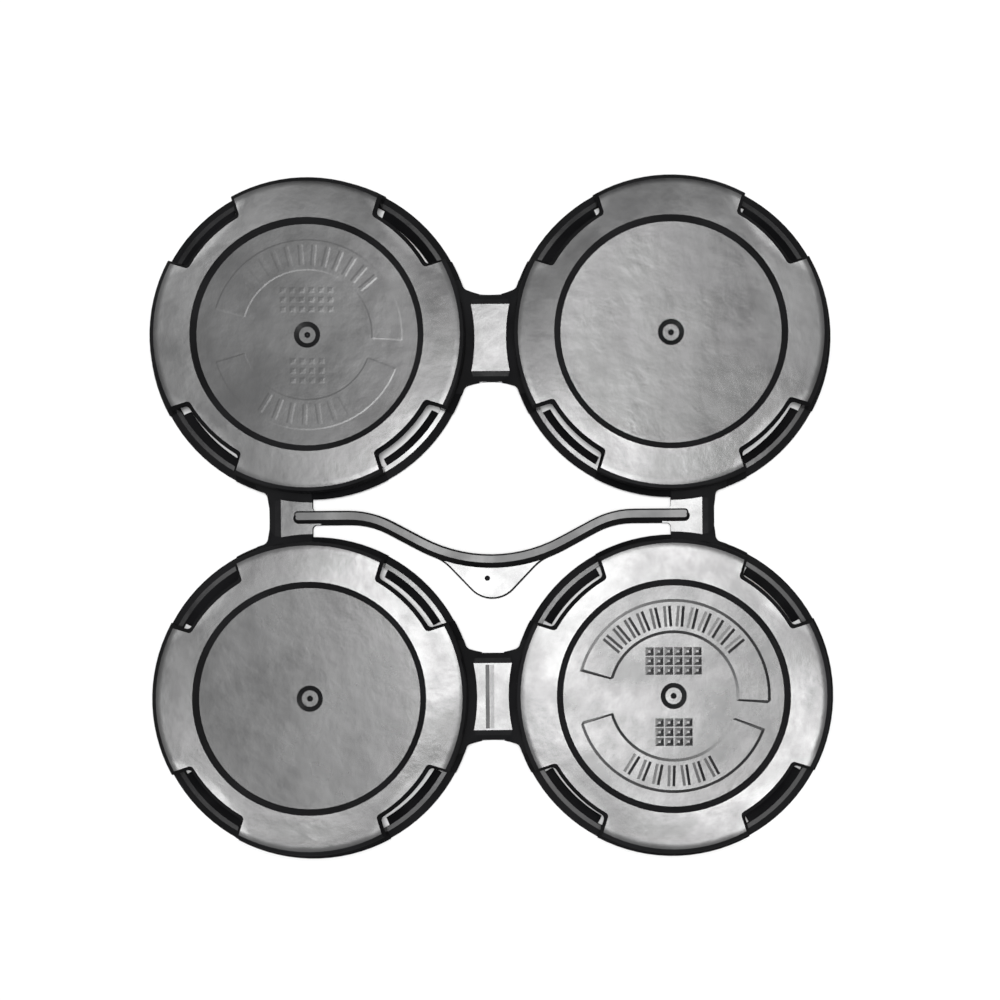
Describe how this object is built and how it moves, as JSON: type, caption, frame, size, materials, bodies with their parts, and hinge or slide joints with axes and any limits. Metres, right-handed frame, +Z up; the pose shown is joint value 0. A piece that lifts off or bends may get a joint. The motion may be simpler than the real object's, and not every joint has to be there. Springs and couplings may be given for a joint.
{
  "type": "plastic can carrier",
  "caption": "One-piece moulded carrier whose round press-on caps grip drinks cans by their rims, joined by webs and crossed by a curved finger strap.",
  "frame": {"origin": "middle of the carrier, on the plane that the rims of the caps stand on", "axes": "+Z up, from the open rims of the caps to their closed tops; +X from left to right along the strap; +Y from the pad side of the strap to its other side"},
  "size_m": [0.126, 0.126, 0.007],
  "materials": {
    "moulded_plastic": "gloss black, moulded"
  },
  "bodies": {
    "root": {"can_carrier": "moulded_plastic"}
  },
  "joints": []
}
